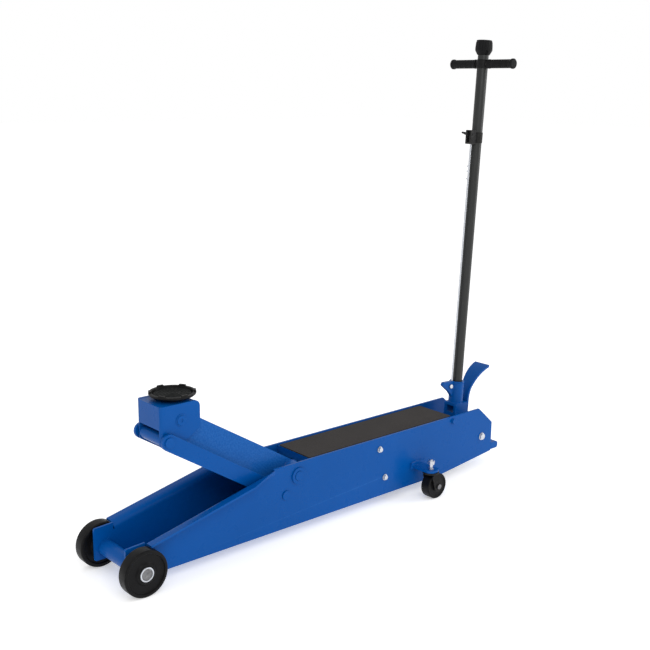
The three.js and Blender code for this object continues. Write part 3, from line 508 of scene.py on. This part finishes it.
def hexagon(across, low, high, chamfer):
    """A six-sided head whose corners are turned down at the top, all in metres."""
    bm = bmesh.new()
    corner = across / math.sqrt(3)
    flat = across / 2 * 0.96

    def reach(angle):
        inside = (angle + math.pi / 6) % (math.pi / 3) - math.pi / 6
        return across / 2 / math.cos(inside)

    turns = [2 * math.pi * i / MEDIUM for i in range(MEDIUM)]
    rings = [
        [(reach(a), low) for a in turns],
        [(reach(a), high - chamfer * (reach(a) - flat) / (corner - flat)) for a in turns],
        [(flat, high) for _ in turns],
    ]
    levels = []
    for ring in rings:
        levels.append([bm.verts.new((r * math.cos(a), r * math.sin(a), h)) for (r, h), a in zip(ring, turns)])
    for lower, upper in zip(levels, levels[1:]):
        for i in range(MEDIUM):
            k = (i + 1) % MEDIUM
            bm.faces.new((lower[i], lower[k], upper[k], upper[i]))
    bm.faces.new(list(reversed(levels[0])))
    bm.faces.new(levels[-1])
    bmesh.ops.recalc_face_normals(bm, faces=bm.faces)
    return bm


THREAD_PITCH = 1.5  # mm


def threaded(r, low, high):
    """A threaded end in mm, as close rings under a chamfered tip."""
    root, tip = r - 0.9, r - 1.6
    clear = 1.5
    profile = [(0, low), (root, low)]
    for i in range(int((high - low - clear) / THREAD_PITCH)):
        h = low + i * THREAD_PITCH
        profile += [(root, h + 0.05), (r, h + THREAD_PITCH / 2), (root, h + THREAD_PITCH - 0.05)]
    profile += [(root, high - 1.2), (tip, high), (0, high)]
    return lathe([(a * MM, b * MM) for a, b in profile], SMALL)


def disc(r, low, high, edge=0.3):
    """A washer or a plain shank in mm, its rims rounded by edge."""
    profile = softened([(0, low), (r, low, edge), (r, high, edge), (0, high)], 3)
    return lathe(profile, SMALL)


def through_bolt(node, r, finish="zinc"):
    """A bolt across the chassis: a hexagon head on its left, a nut and a threaded end on its right."""
    low, high = extent(node)
    centre = (low + high) / 2
    at = axes(centre, Y, X)
    end = (high.y - low.y) / 2 / MM
    face, washer = end - 6, end - 7
    corner_r, washer_r = r + 3.2, r + 4.6
    across = 2 * corner_r * MM * math.cos(math.pi / 6)
    chamfer = 1.1 * MM
    parts = [
        (disc(r, -face, face, 0), slide()),
        (disc(washer_r, washer, face + 0.6), slide()),
        (disc(washer_r, -face - 0.6, -washer), slide()),
        (hexagon(across, face * MM, (end - 1.6) * MM, chamfer), slide()),
        (threaded(r * 0.92, end - 2, end), slide()),
        (hexagon(across, face * MM, end * MM, chamfer), HALF_TURN),
    ]
    return put(node + "_fastener", merged(*parts), finish, body_of(node), at, [node])


through_bolt("frame_bolt_upper", 5)
through_bolt("frame_bolt_lower", 5)
through_bolt("frame_bolt_rear", 5, "enamel")
through_bolt("handle_pivot_shaft", 8)


# ---- Front wheels and axle ----


def front_wheel(side, sign):
    """A moulded wheel with a raised rim and hub outside, and a shallow recess inside."""
    node = "front_wheel_" + side
    low, high = extent(node)
    at = axes((low + high) / 2, Y * sign, X)
    r = (high.x - low.x) / 2 / MM
    w = (high.y - low.y) / 2 / MM
    hub = 20.0
    profile = [
        (hub, -w, 0.4),
        (hub + 10, -w, 1),
        (hub + 12, -w + 4, 1.5),
        (r - 12, -w + 4, 1.5),
        (r - 10, -w, 1),
        (r, -w, 5),
        (r, w, 5),
        (r - 8.5, w, 1.4),
        (r - 10.5, w - 4.5, 2),
        (hub + 10.5, w - 5, 3),
        (hub + 7, w - 1.2, 2),
        (hub + 1.2, w, 0.8),
        (hub, w - 1, 0.3),
        (hub, -w, 0.4),
    ]
    put("wheel_tyre_" + side, lathe(softened(profile)), "wheel", body_of(node), at, [node])


def wheel_bearing(side):
    """A bearing race, stepped back between its two rings."""
    node = "front_bearing_" + side
    low, high = extent(node)
    at = axes((low + high) / 2, Y, X)
    w = (high.y - low.y) / 2 / MM
    inner, outer = 15.4, 19.5
    ring = 1.1
    profile = [
        (inner, -w, 0.3),
        (inner + ring, -w, 0.3),
        (inner + ring, -w + 1, 0.2),
        (outer - ring, -w + 1, 0.2),
        (outer - ring, -w, 0.3),
        (outer, -w, 0.3),
        (outer, w, 0.3),
        (outer - ring, w, 0.3),
        (outer - ring, w - 1, 0.2),
        (inner + ring, w - 1, 0.2),
        (inner + ring, w, 0.3),
        (inner, w, 0.3),
        (inner, -w, 0.3),
    ]
    put("wheel_race_" + side, lathe(softened(profile, 3)), "steel", body_of(node), at, [node])


def axle_clip(side):
    """The bright ring that keeps the wheel on its axle."""
    node = "axle_ring_" + side
    low, high = extent(node)
    at = axes((low + high) / 2, Y, X)
    w = (high.y - low.y) / 2 / MM
    inner, outer = 15.5, 19.5
    profile = [(inner, -w, 0.3), (outer, -w, 0.8), (outer, w, 0.8), (inner, w, 0.3), (inner, -w, 0.3)]
    put("axle_clip_" + side, lathe(softened(profile, 4)), "zinc", body_of(node), at, [node])


def axle():
    """A bar with turned ends and a centre mark in each."""
    node = "front_axle"
    low, high = extent(node)
    at = axes((low + high) / 2, Y, X)
    end = (high.y - low.y) / 2 / MM
    r = (high.z - low.z) / 2 / MM
    half = [(r, end - 1.2, 0.3), (r - 1.6, end, 0.3), (4, end, 0.2), (0, end - 3)]
    mirrored = [(a, -b, *rest) for a, b, *rest in reversed(half)]
    put("axle_bar", lathe(softened(mirrored + half, 4)), "steel", "chassis", at, [node])


for side, sign in SIDES:
    front_wheel(side, sign)
    wheel_bearing(side)
    axle_clip(side)
axle()


# ---- Casters ----


def caster(side):
    """A caster's wheel, the pin through its fork, and the swivel bolt with its nut above the bracket."""
    wheel, pin, bolt = "caster_wheel_" + side, "caster_axle_" + side, "caster_bolt_" + side
    low, high = extent(wheel)
    at = axes((low + high) / 2, Y, X)
    r = (high.x - low.x) / 2 / MM
    w = (high.y - low.y) / 2 / MM
    half = [
        (r, w, 4.5),
        (r - 6, w, 1),
        (r - 7.5, w - 2, 1),
        (14, w - 2, 1.5),
        (12, w, 1),
        (6.4, w, 0.3),
    ]
    mirrored = [(a, -b, c) for a, b, c in reversed(half)]
    profile = softened(mirrored + half + [mirrored[0]], 5)
    put("caster_tyre_" + side, lathe(profile), "wheel", body_of(wheel), at, [wheel])

    low, high = extent(pin)
    end = (high.y - low.y) / 2 / MM
    parts = [
        (disc(6, -end + 3, end - 3, 0), slide()),
        (hexagon(15 * MM, (end - 4) * MM, end * MM, 0.8 * MM), slide()),
        (hexagon(15 * MM, (end - 4) * MM, end * MM, 0.8 * MM), HALF_TURN),
    ]
    put("caster_pin_" + side, merged(*parts), "steel", body_of(pin), axes((low + high) / 2, Y, X), [pin])

    low, high = extent(bolt)
    top = (high.z - low.z) / MM
    nut_foot = top - 13.4
    centre = (low + high) / 2
    at = slide(centre.x, centre.y, low.z)
    parts = [
        (disc(9, 0, 1.5), slide()),
        (disc(6, 0.5, top - 14, 0), slide()),
        (disc(9, top - 31, top - 29), slide()),
        (disc(10.5, top - 15, nut_foot), slide()),
        (hexagon(20.5 * MM, nut_foot * MM, (top - 3) * MM, 1.4 * MM), slide()),
        (threaded(6, top - 4, top), slide()),
    ]
    put("caster_stud_" + side, merged(*parts), "zinc", body_of(bolt), at, [bolt])


for side, _ in SIDES:
    caster(side)


# ---- Saddle ----

SADDLE_SIDES = 144
SADDLE_LUGS = 6
LUG_SPAN = range(-9, 10, 3)  # degrees round a lug's middle


def saddle():
    """A cast dish on a spigot, with lugs standing on its rim."""
    low, high = extent("saddle")
    centre = (low + high) / 2
    at = slide(centre.x, centre.y, low.z)
    r = (high.y - low.y) / 2 / MM
    h = (high.z - low.z) / MM - 0.5
    foot = 6
    profile = [
        (0, 0),
        (18, 0, 1),
        (18, foot, 1),
        (r * 0.62, foot, 3),
        (r - 5, h - 13 + foot - 5, 5),
        (r, h - 8, 2.5),
        (r, h - 3, 1.5),
        (r - 8, h - 3, 1.2),
        (r - 10, h - 11, 1.5),
        (0, h - 11),
    ]
    dish = lathe(softened(profile), SADDLE_SIDES)
    lugs = []
    for i in range(SADDLE_LUGS):
        middle = math.radians(360 / SADDLE_LUGS * (i + 0.5))
        steps = [middle + math.radians(degrees) for degrees in LUG_SPAN]
        outer = [(r - 0.5, a) for a in steps]
        inner = [(r - 7.5, a) for a in reversed(steps)]
        outline = [(q * MM * math.cos(a), q * MM * math.sin(a)) for q, a in outer + inner]
        lug = slab(outline, (h - 4) * MM, (h + 0.5) * MM)
        bmesh.ops.bevel(
            lug,
            geom=[e for e in lug.edges if e.calc_face_angle(0) > 0.6],
            offset=0.9 * MM,
            segments=3,
            profile=0.5,
            affect="EDGES",
            clamp_overlap=True,
        )
        lugs.append((lug, slide()))
    put("saddle_cup", merged((dish, slide()), *lugs), "casting", body_of("saddle"), at, ["saddle"], 40)


def saddle_pad():
    """A rubber disc with round grooves in its top."""
    low, high = extent("saddle_pad")
    centre = (low + high) / 2
    r = (high.y - low.y) / 2 / MM
    h = (high.z - low.z) / MM
    groove, spacing, innermost = h - 0.9, 9, 8
    profile = [(0, 0), (r, 0, 0.5), (r, h, 1.2), (r - 4, h, 0.4)]
    q = r - 5
    while q > innermost:
        profile += [(q, groove, 0.3), (q - 2, groove, 0.3), (q - 3, h, 0.4), (q - 8, h, 0.4)]
        q -= spacing
    profile.append((0, h))
    at = slide(centre.x, centre.y, low.z)
    put("saddle_insert", lathe(softened(profile, 3)), "pad", body_of("saddle_pad"), at, ["saddle_pad"])


saddle()
saddle_pad()


# ---- Handle ----


def tube():
    low, high = extent("handle_tube", HANDLE)
    r = (high.y - low.y) / 2 / MM
    h = (high.z - low.z) / MM
    inner = r - 2.5
    profile = [(inner, 0, 0.3), (r, 0, 0.5), (r, h, 0.6), (inner, h, 0.4), (inner, 0, 0.3)]
    centre = (low + high) / 2
    at = HANDLE @ slide(centre.x, centre.y, low.z)
    put("handle_pipe", lathe(softened(profile, 3)), "tube", "handle", at, ["handle_tube"])


def grip(side, sign):
    """A rubber grip: a rim at its foot, close grooves along it and a thicker end."""
    node = "grip_" + side
    low, high = extent(node, HANDLE)
    centre = (low + high) / 2
    length = (high.y - low.y) / MM
    r = (high.z - low.z) / 2 / MM
    base = slide(centre.x, centre.y, centre.z)
    at = HANDLE @ base @ axes((0, 0, 0), Y * sign, X) @ slide(z=-length / 2 * MM)
    bore, waist, groove = 10.4, r - 2, r - 2.8
    spacing = 4.4
    profile = [(0, 1.5), (bore, 1.5, 0.2), (bore, 0, 0.2)]
    profile += [(r - 1, 0, 0.8), (r - 1, 2.2, 0.8), (waist, 3.4, 0.8)]
    h = 7.0
    while h < length - 16:
        profile += [(waist, h, 0.3), (groove, h + 0.9, 0.3), (waist, h + 1.8, 0.3)]
        h += spacing
    profile += [(waist, length - 9.5, 1), (r, length - 7.5, 1.4), (r, length - 1.6, 1.6)]
    profile += [(r - 2.4, length, 1.5), (0, length)]
    put("hand_grip_" + side, lathe(softened(profile, 3), MEDIUM), "rubber", "handle", at, [node])


def t_bar():
    """A sleeve on the tube with a flanged bar out to each side."""
    low, high = extent("t_bar", HANDLE)
    centre = (low + high) / 2
    tube_low, tube_high = extent("handle_tube", HANDLE)
    tube_r = (tube_high.y - tube_low.y) / 2 / MM
    half = (high.y - low.y) / 2 / MM
    inner, outer, sleeve_half = tube_r + 0.3, tube_r + 3, 13
    collar = [
        (inner, -sleeve_half, 0.3),
        (outer, -sleeve_half, 1.2),
        (outer, sleeve_half, 1.2),
        (inner, sleeve_half, 0.3),
        (inner, -sleeve_half, 0.3),
    ]
    bar, flange = 10, 14
    arm = softened([
        (0, tube_r + 1.2),
        (bar, tube_r + 1.2),
        (bar, tube_r + 6, 0.8),
        (flange, tube_r + 6, 0.9),
        (flange, tube_r + 10, 0.9),
        (bar, tube_r + 10, 0.5),
        (bar, half, 1),
        (0, half),
    ], 4)
    left, right = axes((0, 0, 0), -Y, X), axes((0, 0, 0), Y, X)
    sleeve = lathe(softened(collar, 4))
    whole = merged((sleeve, slide()), (lathe(arm, MEDIUM), left), (lathe(arm, MEDIUM), right))
    at = HANDLE @ slide(centre.x, centre.y, centre.z)
    put("t_bar_arms", whole, "casting", "handle", at, ["t_bar"])


KNOB_SIDES = 240
KNOB_FLUTES = 20
FLUTE_DEPTH = 0.9  # mm
BELLY_STEPS = 16


def knob():
    """A barrel that narrows upwards, with flutes round its belly and a dished top."""
    low, high = extent("release_knob", HANDLE)
    centre = (low + high) / 2
    r = (high.y - low.y) / 2 / MM
    h = (high.z - low.z) / MM
    bore, bore_top = 5.5, 20
    belly = (h * 0.3, h * 0.86)

    def fluted(angle, radius, height):
        inside = belly[0] * MM < height < belly[1] * MM and radius > r * 0.8 * MM
        wave = (0.5 - 0.5 * math.cos(KNOB_FLUTES * angle)) ** 2
        return radius - (FLUTE_DEPTH * MM * wave if inside else 0)

    profile = [(0, bore_top), (bore, bore_top)]
    profile += [(bore, 0, 0.3), (r * 0.72, 0, 1.5), (r * 0.985, h * 0.28, 3)]
    for i in range(BELLY_STEPS + 1):
        t = i / BELLY_STEPS
        height = h * (0.301 + 0.558 * t)
        bulge = 1 - 0.075 * max(0.0, t - 0.25) ** 1.4
        profile.append((r * bulge, height))
    profile += [(r * 0.91, h * 0.875, 0.8), (r * 0.905, h - 2.5, 1), (r * 0.86, h - 0.6, 1)]
    profile += [(r * 0.55, h - 0.6, 0.5), (r * 0.52, h - 1.4, 0.5), (0, h - 1.4)]
    bm = lathe(softened(profile, 4), KNOB_SIDES, fluted)
    at = HANDLE @ slide(centre.x, centre.y, low.z)
    put("knob_barrel", bm, "plastic", "release", at, ["release_knob"])


tube()
for side, sign in SIDES:
    grip(side, sign)
t_bar()
knob()


# ---- Weld beads ----

BEAD_SIDES = 10
BEAD_STEP = 0.65  # mm from one ring of a bead to the next
RIPPLE_LENGTH = 2.6  # mm
RIPPLE_DEPTH = 0.16  # share of the bead's width
END_RINGS = 5  # rings over which an open bead narrows
END_WIDTH = 0.35  # share of the bead's width at its very end


def bead(path, normals, width, closed=False):
    """A half-sunk rippled bead along points in metres. normals point out of the corner that it fills."""
    bm = bmesh.new()
    points = [Vector(p) for p in path]
    lengths = [0.0]
    for a, b in zip(points, points[1:]):
        lengths.append(lengths[-1] + (b - a).length)
    rings = []
    count = len(points)
    for i, p in enumerate(points):
        after = points[(i + 1) % count] if closed or i < count - 1 else p
        before = points[i - 1] if closed or i else p
        along = (after - before).normalized()
        n = Vector(normals[i]).normalized()
        side = along.cross(n).normalized()
        phase = lengths[i] / (RIPPLE_LENGTH * MM) % 1
        swell = 1 - RIPPLE_DEPTH * phase
        taper = 1.0
        if not closed:
            taper = min(1.0, END_WIDTH + (1 - END_WIDTH) * min(i, count - 1 - i) / END_RINGS)
        q = width / 2 * MM * swell * taper
        turns = [2 * math.pi * k / BEAD_SIDES for k in range(BEAD_SIDES)]
        rings.append([bm.verts.new(p + side * math.cos(a) * q + n * math.sin(a) * q * 0.8) for a in turns])
    if closed:
        rings.append(rings[0])
    for low, high in zip(rings, rings[1:]):
        for k in range(BEAD_SIDES):
            m = (k + 1) % BEAD_SIDES
            bm.faces.new((low[k], low[m], high[m], high[k]))
    if not closed:
        bm.faces.new(list(reversed(rings[0])))
        bm.faces.new(rings[-1])
    bmesh.ops.recalc_face_normals(bm, faces=bm.faces)
    return bm


def round_bead(name, centre, axis, r, width, body):
    """A bead round a boss or tube that meets a face, its crown leaning out along the axis."""
    lean = 0.8
    at = axes(centre, axis, X)
    count = int(2 * math.pi * r / BEAD_STEP)
    turns = [2 * math.pi * i / count for i in range(count)]
    path = [(r * MM * math.cos(a), r * MM * math.sin(a), 0) for a in turns]
    normals = [(math.cos(a), math.sin(a), lean) for a in turns]
    put(name, bead(path, normals, width, closed=True), "weld", body, at)


def straight_bead(name, start, end, normal, width, body, at=Matrix.Identity(4)):
    """A bead from one point to another, both in metres in the frame at."""
    start, end = Vector(start), Vector(end)
    count = int((end - start).length / MM / BEAD_STEP)
    path = [start.lerp(end, i / (count - 1)) for i in range(count)]
    put(name, bead(path, [normal] * count, width), "weld", body, at)


def handle_beads():
    """Round the socket's foot on the yoke's box, and down both sides of the latch ear."""
    low, high = extent("handle_yoke", HANDLE)
    tube_low, tube_high = extent("handle_tube", HANDLE)
    tube_x = (tube_low.x + tube_high.x) / 2
    foot = tube_low.z - 4.3 * MM
    socket_r, ear_half = 24, 6
    bead_top, bead_foot = high.z - 8 * MM, high.z - 48 * MM
    centre = HANDLE @ Vector((tube_x, 0, foot))
    round_bead("weld_socket", centre, HANDLE.to_3x3() @ Z, socket_r, 3, "handle")
    x = tube_x - (socket_r - 1) * MM
    for side, sign in SIDES:
        y = sign * ear_half * MM
        normal = (-0.6, sign, 0)
        straight_bead("weld_ear_" + side, (x, y, bead_top), (x, y, bead_foot), normal, 3.6, "handle", HANDLE)


def arm_beads():
    """Round the pivot tube outside the arm's cheeks."""
    pivot = Vector(joints["arm_lift"]["pos_m"])
    cheek, tube_r = 46, 34
    for side, sign in SIDES:
        round_bead("weld_arm_" + side, pivot + Y * sign * cheek * MM, Y * sign, tube_r, 5, "arm")


def caster_beads():
    """Along the top of each caster bracket's foot."""
    plate_face, margin = 83.2 * MM, 3 * MM
    for side, sign in SIDES:
        low, high = extent("caster_bracket_" + side)
        y = sign * plate_face
        start, end = (low.x + margin, y, high.z), (high.x - margin, y, high.z)
        straight_bead("weld_caster_" + side, start, end, (0, sign, 1), 4.5, "chassis")


handle_beads()
arm_beads()
caster_beads()


# ---- Setting ----

FLOOR_HALF = 30.0  # m
FLOOR_TOP = -0.0005
FLOOR_GLOW = 0.42
SKY_SEEN, SKY_LIGHT = 1.0, 0.78  # the world's strength to the camera and to everything else


def floor():
    """A pale matt floor that glows a little, so that it meets the white behind it without a seam."""
    s = Shading("pale_floor", (0.9, 0.9, 0.9), 0.7, **{"Specular IOR Level": 0.0})
    s.shader.inputs["Emission Color"].default_value = (1, 1, 1, 1)
    s.shader.inputs["Emission Strength"].default_value = FLOOR_GLOW
    s.set_color(s.mixed(s.spread(s.noise(2, 3), 0.3, 0.7, 0, 1), (0.88, 0.88, 0.88), (0.92, 0.92, 0.92)))
    mesh = bpy.data.meshes.new("floor")
    half = FLOOR_HALF
    corners = [(-half, -half, 0), (half, -half, 0), (half, half, 0), (-half, half, 0)]
    mesh.from_pydata(corners, [], [(0, 1, 2, 3)])
    mesh.materials.append(s.made)
    ground = bpy.data.objects.new("floor", mesh)
    ground.location.z = FLOOR_TOP
    scene.collection.objects.link(ground)


def softbox(name, place, size, power, target=(0, 0, 0.4)):
    """A rectangular lamp aimed at target, its power in watts."""
    light = bpy.data.lights.new(name, "AREA")
    light.shape = "RECTANGLE"
    light.size, light.size_y = size
    light.energy = power
    lamp = bpy.data.objects.new(name, light)
    lamp.location = place
    lamp.rotation_mode = "QUATERNION"
    lamp.rotation_quaternion = (Vector(target) - Vector(place)).to_track_quat("-Z", "Y")
    scene.collection.objects.link(lamp)


def studio():
    world = bpy.data.worlds.new("studio")
    world.use_nodes = True
    background = world.node_tree.nodes["Background"]
    background.inputs["Color"].default_value = (1, 1, 1, 1)
    path = world.node_tree.nodes.new("ShaderNodeLightPath")
    level = world.node_tree.nodes.new("ShaderNodeMapRange")
    level.inputs["To Min"].default_value = SKY_LIGHT
    level.inputs["To Max"].default_value = SKY_SEEN
    world.node_tree.links.new(path.outputs["Is Camera Ray"], level.inputs["Value"])
    world.node_tree.links.new(level.outputs["Result"], background.inputs["Strength"])
    scene.world = world
    softbox("key", (-1.6, -3.4, 3.4), (2.4, 2.4), 48)
    softbox("side", (3.4, -2.2, 1.9), (1.0, 2.8), 36, (0.4, 0, 0.7))
    scene.view_settings.view_transform = "Standard"
    scene.view_settings.look = "None"


CAMERA_PLACE = (-1.88879, -2.17117, 1.25)
CAMERA_YAW, CAMERA_PITCH, CAMERA_ROLL = 48.6926, -13.1005, 0.57306
CAMERA_LENS = 56.45


def camera():
    data = bpy.data.cameras.new("camera")
    data.sensor_width = 36
    data.lens = CAMERA_LENS
    data.clip_start, data.clip_end = 0.05, 100
    seen = bpy.data.objects.new("camera", data)
    yaw, pitch = math.radians(CAMERA_YAW), math.radians(CAMERA_PITCH)
    forward = Vector((math.cos(pitch) * math.cos(yaw), math.cos(pitch) * math.sin(yaw), math.sin(pitch)))
    level = axes((0, 0, 0), -forward, (math.sin(yaw), -math.cos(yaw), 0))
    seen.matrix_world = slide(*CAMERA_PLACE) @ level @ Matrix.Rotation(math.radians(CAMERA_ROLL), 4, "Z")
    scene.collection.objects.link(seen)
    scene.camera = seen


floor()
studio()
camera()
